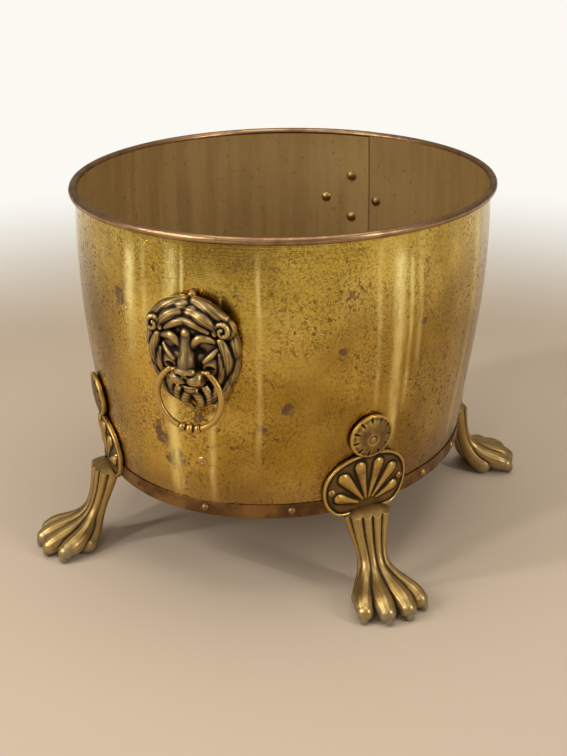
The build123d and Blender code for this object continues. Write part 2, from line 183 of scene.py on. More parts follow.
def strand(points, sides=5):
    """Tapering round strand through points of X, Y, Z and radius."""
    to_object_mode()
    curve = bpy.data.curves.new("strand", "CURVE")
    curve.dimensions = "3D"
    spline = curve.splines.new("NURBS")
    spline.points.add(len(points) - 1)
    for point, (x, y, z, radius) in zip(spline.points, points):
        point.co = (x * MM, y * MM, z * MM, 1)
        point.radius = radius
    spline.order_u = 3
    spline.use_endpoint_u = True
    spline.resolution_u = 6
    curve.bevel_depth = MM
    curve.bevel_resolution = sides
    curve.use_fill_caps = True
    obj = bpy.data.objects.new("strand", curve)
    bpy.context.collection.objects.link(obj)
    pick(obj)
    bpy.ops.object.convert(target="MESH")
    obj = bpy.context.object
    ends = [lump(points[0][:3], (points[0][3],) * 3), lump(points[-1][:3], (points[-1][3],) * 3)]
    return join([obj] + ends)


def melt(objects, grain, rounds=2):
    """Joins lumps and strands into one casting with a closed skin of even grain."""
    obj = join(objects)
    pick(obj)
    obj.data.remesh_voxel_size = grain * MM
    obj.data.remesh_voxel_adaptivity = 0
    bpy.ops.object.voxel_remesh()
    if rounds:
        modify(obj, "SMOOTH", factor=0.5, iterations=rounds)
    return obj


def neighbour_mean(values, edges, count):
    total = np.zeros((count,) + values.shape[1:])
    np.add.at(total, edges[:, 0], values[edges[:, 1]])
    np.add.at(total, edges[:, 1], values[edges[:, 0]])
    share = np.bincount(edges.ravel(), minlength=count).astype(float)
    share[share == 0] = 1
    return total / (share[:, None] if values.ndim > 1 else share)


def store_relief(obj, reach):
    """Keeps on each point how far it stands above its surroundings, from -1 to 1, as "relief"."""
    mesh = obj.data
    count = len(mesh.vertices)
    edges = np.empty(len(mesh.edges) * 2, dtype=np.int64)
    mesh.edges.foreach_get("vertices", edges)
    edges = edges.reshape(-1, 2)
    normals = np.empty(count * 3)
    mesh.vertices.foreach_get("normal", normals)
    normals = normals.reshape(-1, 3)
    places = points_of(obj)
    smooth = places.copy()
    for _ in range(reach):
        smooth = neighbour_mean(smooth, edges, count)
    height = np.einsum("ij,ij->i", places - smooth, normals)
    spread = np.percentile(np.abs(height), 92) + 1e-9
    attribute = mesh.attributes.new("relief", "FLOAT", "POINT")
    attribute.data.foreach_set("value", np.clip(height / spread, -1, 1).astype(np.float32))


def finish_piece(obj, name, body, materials, replaced=(), crease=40):
    """Names a finished piece, smooths it, gives it its finish and puts it on its body."""
    obj.name = name
    obj.data.name = name
    apply_place(obj)
    obj.data.materials.clear()
    for material in materials:
        obj.data.materials.append(material)
    pick(obj)
    bpy.ops.object.shade_smooth_by_angle(angle=math.radians(crease))
    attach(obj, body)
    if replaced:
        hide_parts(*replaced)
    return obj


# Finishes


def node(tree, kind, inputs=None, **settings):
    made = tree.nodes.new(kind)
    for key, value in settings.items():
        setattr(made, key, value)
    for key, value in (inputs or {}).items():
        if isinstance(value, bpy.types.NodeSocket):
            tree.links.new(value, made.inputs[key])
        else:
            made.inputs[key].default_value = value
    return made


def noise(tree, where, scale, detail=4.0, roughness=0.55):
    made = node(tree, "ShaderNodeTexNoise", {"Vector": where, "Scale": scale, "Detail": detail,
                                            "Roughness": roughness})
    return made.outputs["Fac"]


def stretched(tree, where, scale, turn=(0, 0, 0)):
    made = node(tree, "ShaderNodeMapping", {"Vector": where, "Scale": scale, "Rotation": turn})
    return made.outputs["Vector"]


def ramp(tree, value, low, high, low_out=0.0, high_out=1.0):
    made = node(tree, "ShaderNodeMapRange", {"Value": value, "From Min": low, "From Max": high,
                                            "To Min": low_out, "To Max": high_out})
    made.interpolation_type = "SMOOTHSTEP"
    return made.outputs["Result"]


def blend(tree, amount, first, second):
    """Mixes two colours; either may be a socket or three numbers."""
    made = tree.nodes.new("ShaderNodeMix")
    made.data_type = "RGBA"
    for index, value in ((6, first), (7, second)):
        if isinstance(value, bpy.types.NodeSocket):
            tree.links.new(value, made.inputs[index])
        else:
            made.inputs[index].default_value = (*value, 1)
    if isinstance(amount, bpy.types.NodeSocket):
        tree.links.new(amount, made.inputs[0])
    else:
        made.inputs[0].default_value = amount
    return made.outputs[2]


def maths(tree, operation, first, second=0.0):
    made = node(tree, "ShaderNodeMath", operation=operation)
    for index, value in enumerate((first, second)):
        if isinstance(value, bpy.types.NodeSocket):
            tree.links.new(value, made.inputs[index])
        else:
            made.inputs[index].default_value = value
    return made.outputs[0]


def spot(tree, where, centre, radius, wobble):
    """1 inside a ragged blotch round a point, 0 outside it."""
    away = node(tree, "ShaderNodeVectorMath", {0: where}, operation="DISTANCE")
    away.inputs[1].default_value = Vector(centre) * MM
    ragged = maths(tree, "ADD", away.outputs["Value"], wobble)
    return ramp(tree, ragged, radius * MM, radius * MM * 0.75)


def brass(name):
    """Starts a brass finish and gives back the material, its tree, its shader and the place input."""
    material = bpy.data.materials.new(name)
    material.use_nodes = True
    tree = material.node_tree
    shader = tree.nodes["Principled BSDF"]
    shader.inputs["Metallic"].default_value = 1.0
    place = node(tree, "ShaderNodeTexCoord").outputs["Object"]
    return material, tree, shader, place


def bump(tree, shader, height, distance, strength=1.0):
    made = node(tree, "ShaderNodeBump", {"Height": height, "Strength": strength,
                                         "Distance": distance * MM})
    tree.links.new(made.outputs["Normal"], shader.inputs["Normal"])


GOLD = (0.46, 0.285, 0.042)
GOLD_LIGHT = (0.64, 0.42, 0.085)
# Gold of the painted highlight streaks on the wall.
PAINTED_HIGHLIGHT_GOLD = (1.0, 0.80, 0.30)
GOLD_BROWN = (0.20, 0.105, 0.022)
PURPLE_BROWN = (0.155, 0.085, 0.055)
PIT_BROWN = (0.13, 0.065, 0.02)
COPPER = (0.38, 0.225, 0.105)


def streaks(tree, place):
    """Painted highlights: upright bright bands standing for the lamps' reflections streaking down the
    creased sheet, from 0 to 1.
    """
    xyz = node(tree, "ShaderNodeSeparateXYZ", {0: place})
    azimuth = maths(tree, "ARCTAN2", xyz.outputs["X"], maths(tree, "MULTIPLY", xyz.outputs["Y"], -1.0))
    drift = noise(tree, stretched(tree, place, (20.0, 20.0, 9.0)), 1.0, 3.0)
    drift = maths(tree, "MULTIPLY", maths(tree, "SUBTRACT", drift, 0.5), 0.06)
    azimuth = maths(tree, "ADD", azimuth, drift)
    broken = noise(tree, stretched(tree, place, (60.0, 60.0, 16.0)), 1.0, 5.0, 0.7)
    broken = ramp(tree, broken, 0.40, 0.60)
    total = 0.0
    for middle, half_width, strength, low, high in PAINTED_HIGHLIGHT_STREAKS:
        away = maths(tree, "ABSOLUTE", maths(tree, "SUBTRACT", azimuth, math.radians(middle)))
        band = ramp(tree, away, math.radians(half_width), 0.0, 0.0, strength)
        above = ramp(tree, xyz.outputs["Z"], low * MM, (low + 30) * MM)
        below = ramp(tree, xyz.outputs["Z"], high * MM, (high - 25) * MM)
        band = maths(tree, "MULTIPLY", band, maths(tree, "MULTIPLY", above, below))
        total = maths(tree, "MAXIMUM", total, band)
    return maths(tree, "MULTIPLY", total, maths(tree, "ADD", maths(tree, "MULTIPLY", broken, 0.6), 0.4))


def outside_brass():
    """Polished sheet with tarnish clouds, specks, a few purple-brown blotches, darker brown towards its
    foot and painted highlight streaks.
    """
    material, tree, shader, place = brass("wall_brass")
    cloud = noise(tree, place, 14.0, 5.0, 0.6)
    colour = blend(tree, ramp(tree, cloud, 0.38, 0.66), GOLD_LIGHT, GOLD)
    broad = noise(tree, stretched(tree, place, (6.0, 6.0, 3.0)), 1.6, 3.0)
    colour = blend(tree, ramp(tree, broad, 0.46, 0.70, 0.0, 0.65), colour, GOLD_BROWN)
    grain = noise(tree, place, 520.0, 5.0, 0.75)
    tarnished = ramp(tree, noise(tree, place, 22.0, 5.0, 0.65), 0.32, 0.62, 0.3, 1.0)
    speckle = maths(tree, "MULTIPLY", ramp(tree, grain, 0.44, 0.62), tarnished)
    colour = blend(tree, maths(tree, "MULTIPLY", speckle, 0.9), colour, GOLD_BROWN)
    freckle_size = noise(tree, place, 210.0, 5.0, 0.7)
    freckle_where = noise(tree, place, 11.0, 3.0)
    freckle = maths(tree, "MULTIPLY", ramp(tree, freckle_size, 0.56, 0.64),
                    ramp(tree, freckle_where, 0.38, 0.60, 0.25, 1.0))
    colour = blend(tree, maths(tree, "MULTIPLY", freckle, 0.85), colour, PIT_BROWN)
    wobble = maths(tree, "SUBTRACT", noise(tree, place, 95.0, 6.0, 0.7), 0.5)
    wobble = maths(tree, "MULTIPLY", wobble, 0.034)
    blotches = 0.0
    for azimuth, height, radius in BLOTCHES:
        mark = spot(tree, place, on_wall(azimuth, height, 0.0), radius, wobble)
        blotches = maths(tree, "MAXIMUM", mark, blotches)
    patchy = ramp(tree, noise(tree, place, 160.0, 4.0), 0.35, 0.55, 0.45, 0.9)
    colour = blend(tree, maths(tree, "MULTIPLY", blotches, patchy), colour, PURPLE_BROWN)
    # Darker brown towards the foot of the wall, with a ragged upper edge.
    low = node(tree, "ShaderNodeSeparateXYZ", {0: place}).outputs["Z"]
    darker_towards_foot = ramp(tree, maths(tree, "ADD", low, wobble), 0.125, 0.088)
    colour = blend(tree, maths(tree, "MULTIPLY", darker_towards_foot, 0.55), colour, (0.22, 0.12, 0.055))
    # Painted highlights: bright upright streaks of reflected lamp light painted into the wall's colour.
    painted_highlight = streaks(tree, place)
    colour = blend(tree, maths(tree, "MULTIPLY", painted_highlight, 0.85), colour, PAINTED_HIGHLIGHT_GOLD)
    tree.links.new(colour, shader.inputs["Base Color"])
    rough = maths(tree, "ADD", ramp(tree, grain, 0.35, 0.75, 0.15, 0.30),
                  maths(tree, "MULTIPLY", maths(tree, "MAXIMUM", blotches, freckle), 0.22))
    tree.links.new(rough, shader.inputs["Roughness"])
    rubbed = noise(tree, stretched(tree, place, (14.0, 14.0, 900.0)), 1.0, 3.0)
    surface = maths(tree, "ADD", maths(tree, "MULTIPLY", grain, 0.35), rubbed)
    surface = maths(tree, "SUBTRACT", surface, freckle)
    bump(tree, shader, surface, 0.16, 0.8)
    return material


def inside_brass():
    """Duller, olive-brown sheet with fine streaks that run down it."""
    material, tree, shader, place = brass("inside_brass")
    streak = noise(tree, stretched(tree, place, (90.0, 90.0, 5.0)), 1.0, 4.0)
    colour = blend(tree, ramp(tree, streak, 0.36, 0.66), (0.45, 0.285, 0.10), (0.345, 0.21, 0.068))
    shader.inputs["Metallic"].default_value = 0.4
    cloud = noise(tree, place, 10.0, 4.0)
    colour = blend(tree, ramp(tree, cloud, 0.45, 0.72, 0.0, 0.6), colour, (0.47, 0.31, 0.11))
    side = node(tree, "ShaderNodeSeparateXYZ", {0: place}).outputs["X"]
    from_edge = maths(tree, "SUBTRACT", side, lap_edge * MM)
    beyond_lap = ramp(tree, from_edge, -0.2 * MM, 0.2 * MM, 0.0, 0.35)
    colour = blend(tree, beyond_lap, colour, (0.30, 0.17, 0.05))
    line = ramp(tree, maths(tree, "ABSOLUTE", from_edge), 1.1 * MM, 0.5 * MM)
    colour = blend(tree, maths(tree, "MULTIPLY", line, 0.8), colour, PIT_BROWN)
    freckle = ramp(tree, noise(tree, place, 190.0, 3.0), 0.62, 0.70)
    colour = blend(tree, maths(tree, "MULTIPLY", freckle, 0.5), colour, PIT_BROWN)
    tree.links.new(colour, shader.inputs["Base Color"])
    tree.links.new(ramp(tree, streak, 0.3, 0.7, 0.44, 0.58), shader.inputs["Roughness"])
    bump(tree, shader, streak, 0.08, 0.3)
    return material


def copper_brass(name, colour, dark, low_rough):
    """Brown-pink brass of the rolled rim and of the pan's band."""
    material, tree, shader, place = brass(name)
    cloud = noise(tree, place, 40.0, 5.0, 0.6)
    mixed = blend(tree, ramp(tree, cloud, 0.36, 0.68), colour, dark)
    fine = noise(tree, place, 420.0, 3.0, 0.7)
    mixed = blend(tree, ramp(tree, fine, 0.55, 0.75, 0.0, 0.5), mixed, dark)
    tree.links.new(mixed, shader.inputs["Base Color"])
    tree.links.new(ramp(tree, cloud, 0.3, 0.7, low_rough, low_rough + 0.16), shader.inputs["Roughness"])
    bump(tree, shader, fine, 0.06, 0.35)
    return material


def cast_brass(name, high, middle, low, toe_green=0.0, low_edge=-0.55, high_edge=0.55):
    """Cast brass: soot in its hollows, rubbed bright on its high places."""
    material, tree, shader, place = brass(name)
    relief = node(tree, "ShaderNodeAttribute", attribute_name="relief").outputs["Fac"]
    patch = maths(tree, "SUBTRACT", noise(tree, place, 85.0, 4.0, 0.6), 0.5)
    worn = maths(tree, "ADD", relief, maths(tree, "MULTIPLY", patch, 0.9))
    colour = blend(tree, ramp(tree, worn, low_edge, 0.05), low, middle)
    colour = blend(tree, ramp(tree, worn, 0.0, high_edge), colour, high)
    fine = noise(tree, place, 420.0, 3.0, 0.7)
    colour = blend(tree, ramp(tree, fine, 0.56, 0.74, 0.0, 0.45), colour, low)
    if toe_green:
        height = node(tree, "ShaderNodeSeparateXYZ", {0: place}).outputs["Z"]
        ragged = maths(tree, "ADD", height, maths(tree, "MULTIPLY", patch, 0.03))
        near_floor = ramp(tree, ragged, 0.017, 0.004)
        dull = maths(tree, "MULTIPLY", near_floor, toe_green)
        colour = blend(tree, dull, colour, (0.20, 0.20, 0.165))
        tree.links.new(maths(tree, "SUBTRACT", 1.0, maths(tree, "MULTIPLY", dull, 0.5)),
                       shader.inputs["Metallic"])
    tree.links.new(colour, shader.inputs["Base Color"])
    tree.links.new(ramp(tree, worn, -0.6, 0.9, 0.60, 0.36), shader.inputs["Roughness"])
    bump(tree, shader, fine, 0.10, 0.4)
    return material


BLOTCHES = (
    # azimuth from the front mask, height above the floor, radius
    (-22.5, 254.0, 10.0),
    (-20.0, 262.0, 8.0),
    (-10.5, 136.0, 8.0),
    (-8.0, 122.0, 9.0),
    (-6.0, 117.0, 8.0),
    (-12.5, 150.0, 4.5),
    (-9.0, 152.0, 4.0),
    (0.0, 165.0, 4.0),
    (37.5, 268.0, 5.0),
    (34.5, 222.0, 4.0),
    (22.0, 176.0, 3.5),
    (16.0, 158.0, 3.0),
    (58.0, 232.0, 3.5),
    (-70.0, 240.0, 9.0),
    (-105.0, 180.0, 11.0),
    (150.0, 205.0, 10.0),
    (120.0, 250.0, 7.0),
    (95.0, 150.0, 6.0),
)

# Bands of painted highlight on the wall's colour, where reflections of the lamps streak down it.
PAINTED_HIGHLIGHT_STREAKS = (
    # azimuth, half-width, strength, lowest and highest place above the floor
    (-19.0, 2.6, 1.0, 190.0, 312.0),
    (-14.5, 1.2, 0.6, 215.0, 312.0),
    (-6.8, 2.8, 1.0, 225.0, 312.0),
    (-7.5, 3.2, 1.0, 80.0, 190.0),
    (-3.2, 0.9, 0.7, 200.0, 312.0),
    (3.2, 1.4, 0.8, 84.0, 185.0),
    (14.5, 1.1, 0.5, 120.0, 312.0),
    (50.5, 2.8, 1.0, 120.0, 312.0),
    (54.0, 1.0, 0.8, 150.0, 300.0),
    (44.5, 1.2, 0.5, 150.0, 312.0),
    (57.0, 1.5, 0.5, 180.0, 312.0),
    (-52.0, 3.0, 0.7, 90.0, 312.0),
    (84.0, 3.0, 0.7, 90.0, 312.0),
    (118.0, 2.0, 0.7, 120.0, 312.0),
    (166.0, 2.4, 0.9, 100.0, 312.0),
    (-158.0, 2.4, 0.9, 100.0, 312.0),
    (-112.0, 2.4, 0.7, 100.0, 312.0),
)

wall_brass = outside_brass()
lining_brass = inside_brass()
rim_brass = copper_brass("rim_brass", COPPER, (0.19, 0.10, 0.05), 0.28)
pan_brass = copper_brass("pan_brass", (0.26, 0.135, 0.045), (0.11, 0.055, 0.022), 0.36)
rivet_brass = copper_brass("rivet_brass", (0.50, 0.31, 0.10), (0.22, 0.13, 0.05), 0.30)
ring_brass = cast_brass("ring_brass", (0.52, 0.32, 0.085), (0.34, 0.20, 0.055), (0.06, 0.036, 0.018))
mask_brass = cast_brass("mask_brass", (0.60, 0.40, 0.13), (0.15, 0.10, 0.05), (0.018, 0.013, 0.01),
                        low_edge=-0.4, high_edge=1.25)
leg_brass = cast_brass("leg_brass", (0.50, 0.335, 0.12), (0.31, 0.20, 0.07), (0.07, 0.042, 0.018),
                       toe_green=0.7, low_edge=-0.8, high_edge=0.8)
plate_brass = cast_brass("plate_brass", (0.58, 0.37, 0.10), (0.19, 0.115, 0.04), (0.04, 0.026, 0.013))


# Body sheets, rolled rim and base pan


def dents(azimuth, height):
    """Soft upright dents of the hand-worked sheet, in millimetres out of the wall."""
    azimuth = (azimuth + 180) % 360 - 180
    out = np.zeros_like(azimuth)
    for where, wide, deep, middle, tall in DENTS:
        away = (azimuth - where + 180) % 360 - 180
        out += deep * np.exp(-(away / wide) ** 2) * np.exp(-((height - middle) / tall) ** 2)
    turn = np.radians(azimuth)
    broad = 0.16 * np.sin(9 * turn + 0.6) * np.sin(height / 31.0)
    narrow = 0.10 * np.sin(23 * turn + height / 55.0)
    out += broad + narrow
    below_rim = np.clip((rim_middle - 10 - height) / 25, 0, 1)
    above_band = np.clip((height - pan_under - band_height) / 20, 0, 1)
    return out * below_rim * above_band


DENTS = (
    # azimuth, half-width in degrees, depth, middle height, half-height
    (-17.5, 1.5, 0.55, 235.0, 60.0),
    (-7.0, 2.2, 0.70, 190.0, 110.0),
    (-12.0, 2.5, -0.50, 150.0, 70.0),
    (3.5, 1.5, 0.45, 135.0, 40.0),
    (18.0, 1.5, 0.50, 205.0, 110.0),
    (24.0, 4.0, -0.35, 200.0, 110.0),
    (49.0, 1.8, 0.55, 215.0, 90.0),
    (56.0, 2.0, 0.45, 235.0, 80.0),
    (63.0, 4.0, -0.45, 220.0, 80.0),
    (85.0, 4.0, 0.6, 230.0, 90.0),
    (110.0, 3.0, -0.5, 200.0, 90.0),
    (140.0, 3.0, 0.5, 210.0, 100.0),
    (165.0, 2.5, 0.5, 190.0, 100.0),
    (-60.0, 3.0, 0.5, 220.0, 90.0),
    (-95.0, 3.5, -0.6, 200.0, 90.0),
    (-130.0, 2.5, 0.5, 210.0, 100.0),
    (-160.0, 3.0, 0.5, 190.0, 100.0),
    (-1.4, 1.0, 0.6, 282.0, 6.0),
    (1.6, 1.0, 0.6, 280.0, 6.0),
)
WALL_SEGMENTS = 480
WALL_LEVELS = 60


def oval_tube(out, low, high, levels):
    """Open oval tube that follows the wall, drawn up ring by ring from a circle."""
    to_object_mode()
    bpy.ops.mesh.primitive_circle_add(vertices=WALL_SEGMENTS, radius=MM, location=(0, 0, low * MM))
    obj = bpy.context.object
    bpy.ops.object.mode_set(mode="EDIT")
    bpy.ops.mesh.select_all(action="SELECT")
    across, deep = half_axes(low, out)
    bpy.ops.transform.resize(value=(across, deep, 1), center_override=(0, 0, low * MM))
    for level in range(1, levels + 1):
        height = low + (high - low) * level / levels
        wider, deeper = half_axes(height, out)
        step = (high - low) / levels * MM
        bpy.ops.mesh.extrude_region_move(TRANSFORM_OT_translate={"value": (0, 0, step)})
        bpy.ops.transform.resize(value=(wider / across, deeper / deep, 1),
                                 center_override=(0, 0, height * MM))
        across, deep = wider, deeper
    apply_place(obj)
    return obj


def cut_at_x(obj, x, keep_positive):
    """Cuts a piece along an upright plane across X and keeps one side."""
    edit_all(obj)
    bpy.ops.mesh.bisect(plane_co=(x * MM, 0, 0), plane_no=(1, 0, 0),
                        clear_inner=keep_positive, clear_outer=not keep_positive)
    bpy.ops.object.mode_set(mode="OBJECT")


def cut_at_y(obj, keep_front):
    edit_all(obj)
    bpy.ops.mesh.bisect(plane_co=(0, 0, 0), plane_no=(0, 1, 0),
                        clear_inner=not keep_front, clear_outer=keep_front)
    bpy.ops.object.mode_set(mode="OBJECT")


def face_outwards(obj):
    edit_all(obj)
    bpy.ops.mesh.remove_doubles(threshold=0.01 * MM)
    bpy.ops.mesh.normals_make_consistent(inside=False)
    bpy.ops.object.mode_set(mode="OBJECT")


def push_dents(obj):
    places = points_of(obj)
    azimuth = np.degrees(np.arctan2(places[:, 0], -places[:, 1]))
    out = dents(azimuth, places[:, 2])
    reach = np.hypot(places[:, 0], places[:, 1])
    places[:, :2] *= (1 + out / reach)[:, None]
    move_points(obj, places)


def mesh_normals_out(obj):
    """True when the first faces of an open tube look away from the axis."""
    looks = 0.0
    for face in obj.data.polygons[:200]:
        looks += Vector((face.center.x, face.center.y, 0)).dot(face.normal)
    return looks > 0


def thicken(obj, thickness):
    """Gives a sheet its thickness inwards, with a second finish on its inner face."""
    if not mesh_normals_out(obj):
        edit_all(obj)
        bpy.ops.mesh.flip_normals()
        bpy.ops.object.mode_set(mode="OBJECT")
    obj.data.materials.append(wall_brass)
    obj.data.materials.append(lining_brass)
    modify(obj, "SOLIDIFY", thickness=thickness * MM, offset=-1.0, material_offset=1)


def rolled_rim(part_name, x, keep_positive, swell):
    """Half of the rolled rim, as a ring stretched to the oval."""
    to_object_mode()
    across, deep = half_axes(rim_middle, bead_radius - sheet)
    bpy.ops.mesh.primitive_torus_add(major_segments=WALL_SEGMENTS, minor_segments=24,
                                     major_radius=across * MM, minor_radius=(bead_radius + swell) * MM,
                                     location=(0, 0, rim_middle * MM))
    obj = bpy.context.object
    obj.scale = (1, deep / across, 1)
    apply_place(obj)
    cut_at_x(obj, x, keep_positive)
    pick(obj)
    bpy.ops.object.mode_set(mode="EDIT")
    bpy.ops.mesh.select_mode(type="EDGE")
    bpy.ops.mesh.select_all(action="DESELECT")
    bpy.ops.mesh.select_non_manifold()
    bpy.ops.mesh.edge_face_add()
    bpy.ops.mesh.select_mode(type="VERT")
    bpy.ops.object.mode_set(mode="OBJECT")
    return finish_piece(obj, part_name, "bucket", [rim_brass])


def empty_rivet_hole(obj):
    """Drills the band's rivet hole that has lost its rivet."""
    place = on_wall(empty_hole_azimuth, pan_under + empty_hole_height, 0.0) * MM
    to_object_mode()
    bpy.ops.mesh.primitive_cylinder_add(
        vertices=32, radius=empty_hole_radius * MM, depth=12 * MM, location=place,
        rotation=(math.pi / 2, 0, math.radians(empty_hole_azimuth)))
    drill = bpy.context.object
    modify(obj, "BOOLEAN", object=drill, operation="DIFFERENCE", solver="EXACT")
    bpy.data.objects.remove(drill)


def wall_sheets():
    left = oval_tube(0.0, wall_foot, rim_middle, WALL_LEVELS)
    cut_at_x(left, lap_edge, False)
    push_dents(left)
    thicken(left, sheet)
    empty_rivet_hole(left)
    finish_two_sided(left, "wall_left", ("sheet_left",))

    right = oval_tube(0.0, wall_foot, rim_middle, WALL_LEVELS)
    cut_at_x(right, lap_edge + lap_gap, True)
    push_dents(right)
    thicken(right, sheet)
    tongues = []
    for keep_front in (True, False):
        tongue = oval_tube(sheet + lap_gap, pan_under + band_height + lap_clear,
                           rim_middle - bead_radius - lap_clear, WALL_LEVELS)
        cut_at_x(tongue, -lap_tail, True)
        cut_at_x(tongue, lap_edge + joggle, False)
        cut_at_y(tongue, keep_front)
        step_down(tongue)
        push_dents(tongue)
        thicken(tongue, sheet)
        tongues.append(tongue)
    right = join([right] + tongues)
    finish_two_sided(right, "wall_right", ("sheet_right",))
    rolled_rim("rim_roll_left", lap_edge, False, 0.0)
    rolled_rim("rim_roll_right", lap_edge + 0.1, True, -0.18)


def step_down(tongue):
    """Lets the outer sheet run down to the wall's own face over the joggle."""
    places = points_of(tongue)
    drop = np.clip((places[:, 0] - lap_edge) / joggle, 0, 1)
    drop = drop * drop * (3 - 2 * drop) * sheet
    reach = np.hypot(places[:, 0], places[:, 1])
    places[:, :2] *= (1 - drop / reach)[:, None]
    move_points(tongue, places)


def finish_two_sided(obj, name, replaced):
    sides = [polygon.material_index for polygon in obj.data.polygons]
    finish_piece(obj, name, "bucket", [wall_brass, lining_brass], replaced, crease=50)
    obj.data.polygons.foreach_set("material_index", sides)


def base_pan():
    """Flat bottom with its turned-up band, drawn from one oval."""
    obj = oval_tube(band_outside, pan_under, pan_under + band_height, 4)
    pick(obj)
    bpy.ops.object.mode_set(mode="EDIT")
    bpy.ops.mesh.select_mode(type="VERT")
    bpy.ops.mesh.select_all(action="DESELECT")
    bpy.ops.object.mode_set(mode="OBJECT")
    for vertex in obj.data.vertices:
        vertex.select = vertex.co.z < (pan_under + 0.1) * MM
    bpy.ops.object.mode_set(mode="EDIT")
    bpy.ops.mesh.edge_face_add()
    bpy.ops.mesh.inset(thickness=0.9 * MM)
    bpy.ops.mesh.inset(thickness=18 * MM)
    bpy.ops.mesh.inset(thickness=45 * MM)
    bpy.ops.object.mode_set(mode="OBJECT")
    face_outwards(obj)
    modify(obj, "SOLIDIFY", thickness=pan_sheet * MM, offset=-1.0)
    modify(obj, "BEVEL", width=0.5 * MM, segments=3, limit_method="ANGLE", angle_limit=math.radians(40))
    empty_rivet_hole(obj)
    return finish_piece(obj, "pan", "bucket", [pan_brass], ("base_pan",))


wall_sheets()
base_pan()


# Legs


FAN_ROOT = 2.0
FAN_MIDDLE = 20.0
FAN_HALF_WIDTH = 40.0
FAN_HALF_HEIGHT = 31.0
FAN_FOOT = 24.0
FAN_POWER = 2.15
PLATE_THICKNESS = 2.4
BRIM_RADIUS = 1.3
TICKS = 11
TICK_REACH = 15.2
PLATE_HOLE_HEIGHT = 64.0
LOBES = (
    # angle from upright, inner end, outer end, half-width at the outer end
    (13.0, 7.0, 43.5, 5.2),
    (38.0, 8.0, 42.0, 5.4),
    (67.0, 10.0, 33.0, 4.8),
)
LOBE_FLATNESS = 0.62
roundel_radius = 19.5
roundel_middle = 66.5
SHAFT_REACH = 170.7
SHOULDER_DROP = 5.5
SHOULDER_WIDTH = 15.0
FLUTE_DEPTH = 0.16


def fan_edge(angle):
    """Distance from the fan's middle to its edge, by angle from upright."""
    side = np.abs(np.sin(angle))
    up = np.cos(angle)
    across = side ** FAN_POWER / FAN_HALF_WIDTH ** FAN_POWER
    along = np.abs(up) ** FAN_POWER / FAN_HALF_HEIGHT ** FAN_POWER
    reach = 1 / (across + along) ** (1 / FAN_POWER)
    foot = np.where(up < -0.05, -FAN_FOOT / np.minimum(up, -0.05), 1e3)
    return np.minimum(reach, foot)


def plate_flat():
    """Palmette and roundel modelled flat: X to the side, Y out, Z up from the pan's underside."""
    pieces = []
    to_object_mode()
    bpy.ops.mesh.primitive_circle_add(vertices=120, radius=MM, fill_type="NGON",
                                      rotation=(math.pi / 2, 0, 0))
    fan = bpy.context.object
    apply_place(fan)
    places = points_of(fan)
    angle = np.arctan2(places[:, 0], places[:, 2])
    reach = fan_edge(angle)
    places[:, 0] = reach * np.sin(angle)
    places[:, 2] = FAN_MIDDLE + reach * np.cos(angle)
    move_points(fan, places)
    modify(fan, "SOLIDIFY", thickness=PLATE_THICKNESS * MM, offset=0.0)
    shift = points_of(fan)
    shift[:, 1] += PLATE_THICKNESS / 2 - shift[:, 1].mean()
    move_points(fan, shift)
    pieces.append(fan)
    turns = np.linspace(-math.pi, math.pi, 49)
    brim = []
    for turn in turns:
        side, up = fan_edge(turn) * math.sin(turn), fan_edge(turn) * math.cos(turn)
        brim.append((side * 0.97, PLATE_THICKNESS, FAN_MIDDLE + up * 0.96, BRIM_RADIUS))
    pieces.append(strand(brim))
    for tilt, start, end, half_width in LOBES:
        for sign in (-1, 1):
            lean = math.radians(tilt) * sign
            middle = 0.55 * start + 0.45 * end
            steps = ((start, 1.7), (middle, 0.66 * half_width), (end - 1.6 * half_width, half_width),
                     (end - half_width, half_width), (end - half_width, half_width))
            line = [(reach * math.sin(lean), 0.0, FAN_ROOT + reach * math.cos(lean), radius)
                    for reach, radius in steps]
            lobe = strand(line)
            places = points_of(lobe)
            places[:, 1] = 1.9 + places[:, 1] * LOBE_FLATNESS
            move_points(lobe, places)
            pieces.append(lobe)
    to_object_mode()
    bpy.ops.mesh.primitive_cylinder_add(
        vertices=96, radius=roundel_radius * MM, depth=4.0 * MM,
        location=(0, 2.0 * MM, roundel_middle * MM), rotation=(math.pi / 2, 0, 0))
    disc = bpy.context.object
    apply_place(disc)
    modify(disc, "BEVEL", width=1.3 * MM, segments=3, limit_method="ANGLE")
    pieces.append(disc)
    pieces.append(lump((0, 3.2, roundel_middle), (17.0, 2.5, 17.0)))
    plate = melt(pieces, 0.55, 2)
    places = points_of(plate)
    side, up = places[:, 0], places[:, 2] - roundel_middle
    ring = np.hypot(side, up)
    turn = np.arctan2(up, side)
    tick = np.clip(np.cos(TICKS * turn + 0.4) - 0.62, 0, 1) / 0.38
    band = np.exp(-((ring - TICK_REACH) / 2.2) ** 2) * (0.35 + 0.65 * np.clip(0.5 - side / 20, 0, 1))
    front = places[:, 1] > 3.0
    places[:, 1] -= np.where(front, 1.2 * tick * band, 0)
    near_hole = np.exp(-((side ** 2 + (places[:, 2] - PLATE_HOLE_HEIGHT) ** 2) / 3.6 ** 2) ** 2)
    places[:, 1] -= np.where(front, 0.9 * near_hole, 0)
    move_points(plate, places)
    return plate


